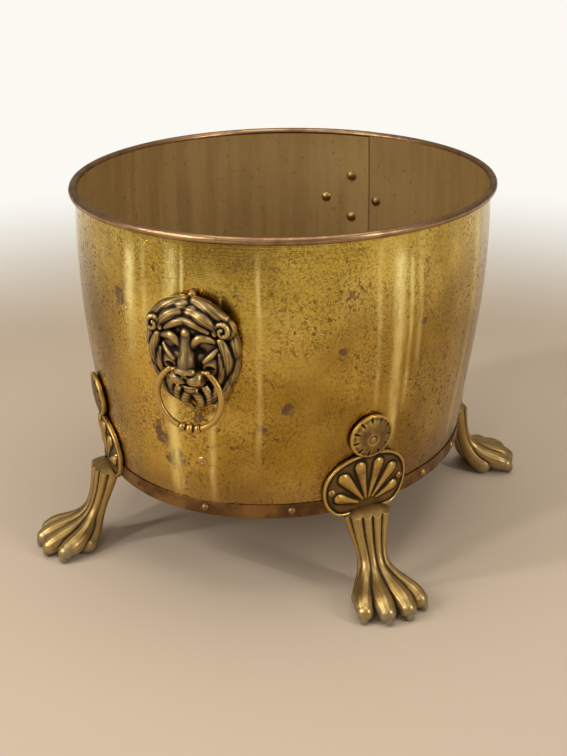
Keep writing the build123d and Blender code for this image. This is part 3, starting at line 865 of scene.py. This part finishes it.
def leg_strands():
    """Strands of the fluted shaft, from under the plate to the toes: out, side, up, radius."""
    inner = (
        (183.6, 4.4, 74.5, 4.6), (185.0, 4.2, 66.0, 4.3), (187.5, 3.6, 52.0, 3.7),
        (192.0, 3.0, 37.0, 3.5), (198.0, 3.4, 27.5, 4.4), (207.0, 5.2, 21.0, 6.2),
        (218.0, 7.4, 16.5, 8.2), (228.0, 8.8, 13.0, 8.9), (234.5, 9.2, 10.0, 7.6),
        (235.0, 9.2, 9.6, 7.4),
    )
    outer = (
        (181.0, 12.6, 74.5, 5.2), (182.5, 11.6, 66.0, 4.9), (185.2, 9.6, 52.0, 4.2),
        (190.0, 7.6, 37.0, 4.0), (195.5, 8.6, 27.5, 5.2), (203.0, 13.5, 19.5, 7.2),
        (212.0, 19.0, 14.5, 8.6), (220.0, 22.8, 12.0, 8.8), (225.6, 24.6, 9.4, 7.4),
        (226.0, 24.8, 9.2, 7.2),
    )
    flank = (
        (175.5, 17.2, 74.5, 4.6), (177.5, 15.6, 66.0, 4.5), (181.5, 12.0, 52.0, 4.2),
        (186.5, 9.0, 37.0, 4.2), (191.5, 9.6, 25.0, 5.6), (198.0, 13.5, 14.0, 8.0),
        (205.0, 17.5, 9.0, 9.0),
    )
    core = (
        (176.5, 0.0, 70.5, 8.2), (178.8, 0.0, 66.0, 8.4), (182.6, 0.0, 52.0, 6.8),
        (187.6, 0.0, 37.0, 5.8), (193.5, 0.0, 25.0, 8.0), (203.0, 0.0, 14.0, 12.0),
        (215.0, 0.0, 9.0, 12.5), (222.0, 0.0, 7.5, 9.5),
    )
    pieces = [strand(core)]
    for sign in (-1, 1):
        for line in (inner, outer, flank):
            pieces.append(strand([(out, sign * side, up, radius) for out, side, up, radius in line]))
        pieces.append(lump((177.5, sign * 8.5, 70.0), (8.4, 9.0, 6.0)))
        for out, side in ((239.2, 9.4), (229.6, 27.4)):
            pieces.append(lump((out, sign * side, 5.4), (3.6, 3.5, 5.0)))
            pieces.append(lump((out - 2.0, sign * side * 0.98, 9.0), (3.9, 4.2, 3.6)))
    return pieces


def lower_leg():
    """Shaft and paw as one casting, flat underneath."""
    casting = melt(leg_strands(), 0.62, 2)
    places = points_of(casting)
    places[:, 2] = np.maximum(places[:, 2], 0.0)
    past_out = np.maximum(places[:, 0] - 175.0, 0.0)
    past_side = np.maximum(np.abs(places[:, 1]) - 8.0, 0.0)
    past = np.minimum(np.hypot(past_out, past_side), SHOULDER_WIDTH) / SHOULDER_WIDTH
    shoulder = pan_under - 0.4 - SHOULDER_DROP * past ** 2
    places[:, 2] = np.minimum(places[:, 2], shoulder)
    flute = np.clip((places[:, 2] - 20) / 20, 0, 1)
    wave = np.cos(places[:, 1] / (2.0 + places[:, 2] / 60) * 2.2)
    places[:, 0] += FLUTE_DEPTH * flute * wave * (places[:, 0] > 181)
    move_points(casting, places)
    store_relief(casting, 26)
    return casting


def bend_plate(flat, azimuth):
    """Copies the flat plate and bends it to the wall in a leg's direction."""
    plate = copy_of(flat)
    places = points_of(plate)
    height = pan_under + places[:, 2]
    turn = np.degrees(np.arctan2(places[:, 0], wall_reach(azimuth, height)))
    move_points(plate, on_wall(azimuth + turn, height, casting_back + np.maximum(places[:, 1], 0.0)))
    return plate


def place_leg(name, azimuth, flat, casting):
    plate = bend_plate(flat, azimuth)
    shaft = copy_of(casting)
    places = points_of(shaft)
    places[:, 0] += float(wall_reach(azimuth, pan_under)) - SHAFT_REACH
    turn = math.radians(azimuth)
    out, side = places[:, 0].copy(), places[:, 1].copy()
    places[:, 0] = out * math.sin(turn) + side * math.cos(turn)
    places[:, 1] = -out * math.cos(turn) + side * math.sin(turn)
    move_points(shaft, places)
    face_outwards(shaft)
    face_outwards(plate)
    plate.data.materials.clear()
    plate.data.materials.append(plate_brass)
    shaft.data.materials.clear()
    shaft.data.materials.append(leg_brass)
    leg = join([shaft, plate])
    sides = [polygon.material_index for polygon in leg.data.polygons]
    finish_piece(leg, name, "bucket", [leg_brass, plate_brass],
                 (name.replace("_foot", "_leg"),))
    leg.data.polygons.foreach_set("material_index", sides)


def legs():
    flat = plate_flat()
    store_relief(flat, 22)
    casting = lower_leg()
    for end, angle in (("front", front_leg_angle), ("rear", rear_leg_angle)):
        place_leg(f"{end}_right_foot", angle, flat, casting)
        place_leg(f"{end}_left_foot", -angle, flat, casting)
    for spare in (flat, casting):
        bpy.data.objects.remove(spare)


legs()


# Lion masks


HAIR = (
    # strands on one side, each of side, height above the pan, relief and radius
    ((5, 190.0, 9, 5.0), (13, 187.5, 11.5, 6.2), (22, 183.5, 12.0, 6.0), (29, 179, 9.5, 4.0)),
    ((6, 183, 15.0, 5.0), (12, 181.5, 17.0, 5.6), (18, 178.5, 16.4, 5.0), (22, 173, 14.0, 3.2)),
    ((1, 178.0, 17.6, 3.6), (6, 177.0, 18.4, 4.2), (12, 174.5, 17.6, 4.0), (17.0, 170, 15.6, 2.6)),
    ((34, 166, 6, 4.0), (36.5, 158, 6.5, 4.4), (36, 150, 5.5, 4.0), (33, 142, 4, 2.4)),
    ((26.5, 162, 11.5, 3.4), (31, 153, 10.5, 4.6), (32, 142, 8.5, 4.4), (28.5, 132, 6, 2.4)),
    ((25.5, 150, 10, 2.6), (27, 143, 9.5, 3.8), (26, 134, 8.0, 3.8), (22.5, 125, 6, 2.4)),
    ((35, 148, 4, 3.6), (35.2, 138, 4.6, 4.2), (32, 128, 4.4, 4.2), (26, 120, 3.4, 2.4)),
    ((30, 131, 4.6, 3.4), (28, 120, 4.6, 4.2), (22.5, 111, 4.0, 3.6), (15, 106, 3.0, 2.0)),
    ((21, 126, 5.5, 3.4), (20, 117, 5.6, 4.0), (14.5, 109, 5.0, 3.4), (8, 104, 3.5, 2.0)),
    ((10, 121, 8.0, 3.2), (14.5, 115, 7.2, 3.8), (13, 108, 5.6, 3.4), (6.5, 103, 3.8, 2.0)),
    ((2.4, 116, 9.6, 3.2), (7.0, 110.5, 8.2, 3.8), (6.5, 104.5, 6.4, 3.4), (1.6, 100, 4.4, 2.0)),
)
FEATURES = (
    # strands of the face on one side
    ((5, 156.5, 16.6, 2.6), (8.4, 163.2, 18.2, 3.8), (14.6, 165.6, 17, 3.8), (21.5, 162, 12.8, 2.4)),
    ((12.6, 144.0, 13.0, 2.2), (17.2, 147.6, 12.6, 3.4), (22.4, 154.0, 9.8, 2.2)),
    ((6.8, 127, 16.0, 1.3), (7.2, 123.5, 16.8, 1.5), (7.4, 119.0, 17.0, 0.8)),
)
LUMPS = (
    # middle and half-sizes of the lumps on the mask's middle line
    ((0, 150, 0), (35.5, 42, 10.5)),
    ((0, 153, 5.5), (27, 32, 9.5)),
    ((0, 180, 9.0), (22, 9, 9.0)),
    ((-4.5, 186.5, 11.5), (8.5, 6.5, 6.5)),
    ((5.0, 183.0, 13.5), (9.0, 7.0, 6.5)),
    ((0, 171, 11.5), (14, 8, 7.5)),
    ((0, 167.5, 16.6), (4.4, 4.6, 4.6)),
    ((0, 137.4, 21.4), (8.8, 4.8, 4.8)),
    ((0, 120.0, 11.4), (6.2, 4.4, 4.8)),
    ((0, 129, 12.5), (13.0, 9.5, 6.5)),
)
SIDE_LUMPS = (
    # the same for lumps that come in pairs
    ((6.9, 131.0, 17.0), (7.8, 7.2, 7.4)),
    ((15.5, 142, 8.0), (9.0, 11.0, 6.4)),
    ((29.5, 171.0, 8.5), (9.0, 9.0, 5.6)),
    ((11.6, 154.0, 9.6), (4.6, 3.4, 3.6)),
)
NOSE = (
    (0, 168, 14.6, 5.4),
    (0, 159, 15.6, 5.6),
    (0, 150, 16.8, 6.4),
    (0, 142, 18.2, 7.2),
    (0, 137, 18.8, 7.0),
)
HOLLOWS = (
    # eye socket, nostril, the lip's middle groove and the mouth: side, height, half-sizes and depth
    (9.0, 152.5, 5.5, 3.6, 2.4),
    (3.8, 134.4, 2.0, 1.4, 2.0),
    (0.0, 130.5, 0.9, 4.4, 1.6),
    (5.0, 124.2, 10.0, 1.5, 5.0),
)
EAR_SIDE = 29.5
EAR_HEIGHT = 171.0
SOCKET_SIDE = 18.0
SOCKET_START = 12.9
SOCKET_RADIUS = 9
SOCKET_DROP = 3.2


def flat_lump(middle, size):
    x, height, relief = middle
    return lump((x, relief, height), (size[0], size[2], size[1]))


def flat_strand(line, sign=1):
    return strand([(sign * x, relief, height, radius) for x, height, relief, radius in line])


def spiral_ear(sign):
    """Curled ear: a strand wound inwards."""
    line = []
    for step in range(15):
        turn = math.radians(200 - 32 * step)
        reach = 7.2 - 0.40 * step
        line.append((EAR_SIDE + reach * math.cos(turn), EAR_HEIGHT + reach * math.sin(turn),
                     14.4 + 0.10 * step, 2.5 - 0.05 * step))
    return flat_strand(line, sign)


def mask_flat():
    """The lion's head modelled flat: X to the side, Y out, Z up from the pan's underside."""
    pieces = [flat_lump(*spec) for spec in LUMPS]
    pieces.append(flat_strand(NOSE))
    for sign in (-1, 1):
        pieces += [flat_strand(line, sign) for line in HAIR + FEATURES]
        for (x, height, relief), size in SIDE_LUMPS:
            pieces.append(flat_lump((sign * x, height, relief), size))
        pieces.append(spiral_ear(sign))
    mask = melt(pieces, 0.56, 7)
    places = points_of(mask)
    carve(places)
    places[:, 1] = np.maximum(places[:, 1], 0.0)
    move_points(mask, places)
    modify(mask, "SMOOTH", factor=0.5, iterations=2)
    return mask


def carve(places):
    """Cuts eye sockets, nostrils, the mouth and the fine strands of the mane."""
    x, out, up = places[:, 0], places[:, 1], places[:, 2]
    side = np.abs(x)
    front = np.clip((out - 4) / 4, 0, 1)

    def dig(at_side, at_up, wide, tall, depth):
        return depth * np.exp(-((side - at_side) / wide) ** 2 - ((up - at_up) / tall) ** 2)

    cut = np.zeros_like(x)
    for hollow in HOLLOWS:
        cut += dig(*hollow)
    away = np.hypot(x / 25, (up - 149) / 30)
    mane = np.clip((away - 0.86) / 0.2, 0, 1)
    wave = 0.5 * np.sin(up / 4.0) + 0.4 * np.sin(side / 3.0 + 1.0)
    cut += 0.30 * mane * (0.5 + 0.5 * np.sin(away * 62 + wave))
    whisker = np.exp(-((up - 130) / 5) ** 2 - ((side - 8) / 5) ** 2)
    cut += 0.2 * whisker * (0.5 + 0.5 * np.sin(up * 2.4))
    places[:, 1] = out - cut * front
    from_pin = np.hypot((side - SOCKET_SIDE) / 1.25, up - pivot_height + 0.5)
    roof = pivot_relief - SOCKET_DROP + 0.8 * np.maximum(from_pin - 4.2, 0) ** 1.3
    near = (side > SOCKET_START) & (from_pin < SOCKET_RADIUS)
    soft = np.clip((side - 12.6) / 1.6, 0, 1)
    lowered = places[:, 1] + (np.minimum(places[:, 1], roof) - places[:, 1]) * soft
    places[:, 1] = np.where(near, lowered, places[:, 1])


def masks():
    flat = mask_flat()
    store_relief(flat, 24)
    for end, about in (("front", 0.0), ("rear", 180.0)):
        mask = copy_of(flat)
        places = points_of(mask)
        height = pan_under + places[:, 2]
        azimuth = np.degrees(np.arctan2(places[:, 0], wall_reach(0.0, height)))
        bent = on_wall(azimuth, height, 0.0)
        face = -half_axes(pan_under + pivot_height)[1]
        lift = mask_back + places[:, 1]
        level = np.clip((places[:, 1] - 3) / 8, 0, 1)
        bent[:, 1] = bent[:, 1] * (1 - level) + face * level - lift + mask_back * level
        turn = math.radians(about)
        x, y = bent[:, 0].copy(), bent[:, 1].copy()
        bent[:, 0] = x * math.cos(turn) - y * math.sin(turn)
        bent[:, 1] = x * math.sin(turn) + y * math.cos(turn)
        move_points(mask, bent)
        face_outwards(mask)
        finish_piece(mask, f"{end}_mask", "bucket", [mask_brass],
                     (f"{end}_lion_mask",), crease=60)
    bpy.data.objects.remove(flat)


masks()


# Ring handles


COLLAR = ((-6.6, 4.1), (0.0, 5.1), (6.6, 4.1))
COLLAR_BEAD = 3.3
WIRE_RADIUS = 2.4
PIN_RADIUS = 1.8
PIN_TIP = 8.6
INNER_HEAD_OUT = -1.2
INNER_HEAD_SIZE = (4.8, 2.1, 4.8)


def ring_pull():
    """The front ring: an open hoop on two short pins, with a collar of three beads."""
    pivot_y = -float(half_axes(pan_under + pivot_height)[1]) - pivot_relief
    pivot_z = pan_under + pivot_height
    centre_z = pivot_z - math.sqrt(ring_radius ** 2 - pivot_side ** 2)
    to_object_mode()
    bpy.ops.mesh.primitive_torus_add(
        major_segments=160, minor_segments=28, major_radius=ring_radius * MM, minor_radius=WIRE_RADIUS * MM,
        location=(0, pivot_y * MM, centre_z * MM), rotation=(math.pi / 2, 0, 0))
    hoop = bpy.context.object
    apply_place(hoop)
    edit_all(hoop)
    bpy.ops.mesh.bisect(plane_co=(0, 0, pivot_z * MM), plane_no=(0, 0, 1),
                        clear_outer=True, use_fill=True)
    bpy.ops.object.mode_set(mode="OBJECT")
    pieces = [hoop]
    for sign in (-1, 1):
        pieces.append(lump((sign * pivot_side, pivot_y, pivot_z), (WIRE_RADIUS,) * 3))
        pin = [(sign * side, pivot_y, pivot_z, PIN_RADIUS) for side in (PIN_TIP, 12.0, pivot_side)]
        pieces.append(strand(pin))
    for along, radius in COLLAR:
        turn = along / ring_radius
        place = (ring_radius * math.sin(turn), pivot_y, centre_z - ring_radius * math.cos(turn))
        pieces.append(lump(place, (COLLAR_BEAD, radius, radius), (0, -math.degrees(turn), 0)))
    return melt(pieces, 0.42, 1)


def ring_pulls():
    front = ring_pull()
    store_relief(front, 14)
    back = copy_of(front)
    places = points_of(back)
    places[:, :2] *= -1
    move_points(back, places)
    for end, ring in (("front", front), ("rear", back)):
        finish_piece(ring, f"{end}_pull", f"{end}_ring", [ring_brass],
                     (f"{end}_ring_handle",), crease=60)


def inner_heads():
    """Round heads inside the bucket on the two rivets above the masks."""
    for end, sign in (("front", 1), ("rear", -1)):
        place = on_wall(0.0, pan_under + ball_rivet_height, INNER_HEAD_OUT)
        head = lump((0, place[1] * sign, place[2]), INNER_HEAD_SIZE)
        finish_piece(head, f"{end}_inner_head", "bucket", [rivet_brass])


ring_pulls()
inner_heads()


# Finishes of the pieces that keep their own shape


def dress_nodes():
    kept = {"rim_wire": rim_brass, "base_rivets": rivet_brass}
    for end in ("front", "rear"):
        kept[f"{end}_seam_rivet"] = rivet_brass
        kept[f"{end}_mask_rivets"] = rivet_brass
        for side in ("left", "right"):
            kept[f"{end}_{side}_leg_rivets"] = rivet_brass
    for name, material in kept.items():
        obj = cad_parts[name]
        for slot in obj.material_slots:
            slot.link = "DATA"
            slot.material = material
        if not obj.material_slots:
            obj.data.materials.append(material)


dress_nodes()


# Floor, light and camera


CAMERA_AZIMUTH = 20.86
CAMERA_DISTANCE = 1.13043
CAMERA_HEIGHT = 0.59858
CAMERA_LENS = 62.85
CAMERA_PITCH = 22.79
CAMERA_ROLL = -0.27
CAMERA_YAW = -0.07
FLOOR_NEAR = 0.5
FLOOR_FAR = 1.25


def floor_paint():
    """Pale floor that turns white further from the bucket."""
    material = bpy.data.materials.new("floor_paint")
    material.use_nodes = True
    tree = material.node_tree
    shader = tree.nodes["Principled BSDF"]
    place = node(tree, "ShaderNodeTexCoord").outputs["Object"]
    away = node(tree, "ShaderNodeVectorMath", {0: place}, operation="LENGTH").outputs["Value"]
    far = ramp(tree, away, FLOOR_NEAR, FLOOR_FAR)
    shader.inputs["Base Color"].default_value = (0.56, 0.45, 0.33, 1)
    shader.inputs["Roughness"].default_value = 0.6
    seen = node(tree, "ShaderNodeLightPath")
    glow = node(tree, "ShaderNodeEmission", {"Color": (0.97, 0.95, 0.89, 1)})
    shown = maths(tree, "MAXIMUM", seen.outputs["Is Camera Ray"], seen.outputs["Is Glossy Ray"])
    mixed = node(tree, "ShaderNodeMixShader", {0: maths(tree, "MULTIPLY", shown, far)})
    tree.links.new(shader.outputs[0], mixed.inputs[1])
    tree.links.new(glow.outputs[0], mixed.inputs[2])
    tree.links.new(mixed.outputs[0], tree.nodes["Material Output"].inputs["Surface"])
    return material


def stage():
    to_object_mode()
    bpy.ops.mesh.primitive_plane_add(size=12, location=(0, 0, 0))
    floor = bpy.context.object
    floor.name = "floor"
    floor.data.materials.append(floor_paint())

    world = bpy.data.worlds.new("studio")
    bpy.context.scene.world = world
    world.use_nodes = True
    tree = world.node_tree
    back = tree.nodes["Background"]
    seen = node(tree, "ShaderNodeTexCoord").outputs["Generated"]
    height = node(tree, "ShaderNodeSeparateXYZ", {0: seen}).outputs["Z"]
    room = blend(tree, ramp(tree, height, -0.1, 0.6), (0.20, 0.165, 0.12), (0.34, 0.31, 0.265))
    paths = node(tree, "ShaderNodeLightPath").outputs["Is Camera Ray"]
    colour = blend(tree, paths, room, (0.97, 0.95, 0.90))
    tree.links.new(colour, back.inputs["Color"])
    back.inputs["Strength"].default_value = 1.0


def lamp(name, place, aim, size, power):
    light = bpy.data.lights.new(name, "AREA")
    light.shape = "RECTANGLE"
    light.size, light.size_y = size
    light.energy = power
    obj = bpy.data.objects.new(name, light)
    bpy.context.collection.objects.link(obj)
    obj.location = place
    obj.rotation_euler = (Vector(aim) - Vector(place)).to_track_quat("-Z", "Y").to_euler()


def camera():
    data = bpy.data.cameras.new("camera")
    obj = bpy.data.objects.new("camera", data)
    bpy.context.collection.objects.link(obj)
    data.sensor_width = 36
    data.lens = CAMERA_LENS
    data.clip_start = 0.01
    turn = math.radians(CAMERA_AZIMUTH)
    place = Matrix.Translation((CAMERA_DISTANCE * math.sin(turn), -CAMERA_DISTANCE * math.cos(turn),
                                CAMERA_HEIGHT))
    heading = Matrix.Rotation(math.radians(CAMERA_AZIMUTH - CAMERA_YAW), 4, "Z")
    tilt = Matrix.Rotation(math.radians(90 - CAMERA_PITCH), 4, "X")
    obj.matrix_world = place @ heading @ tilt @ Matrix.Rotation(math.radians(CAMERA_ROLL), 4, "Z")
    bpy.context.scene.camera = obj


stage()
lamp("left_strip", (-1.25, -1.15, 1.1), (0, 0, 0.2), (0.10, 1.2), 13)
lamp("front_strip", (-0.85, -1.70, 1.2), (0, 0, 0.2), (0.10, 1.2), 12)
lamp("middle_strip", (0.3, -2.0, 1.5), (0, 0, 0.2), (0.05, 1.0), 4)
lamp("right_strip", (1.93, -0.52, 1.1), (0, 0, 0.2), (0.10, 1.2), 14)
lamp("top", (0.1, 0.0, 1.9), (0, 0, 0.1), (1.5, 1.5), 15)
camera()
bpy.context.scene.view_settings.view_transform = "Standard"
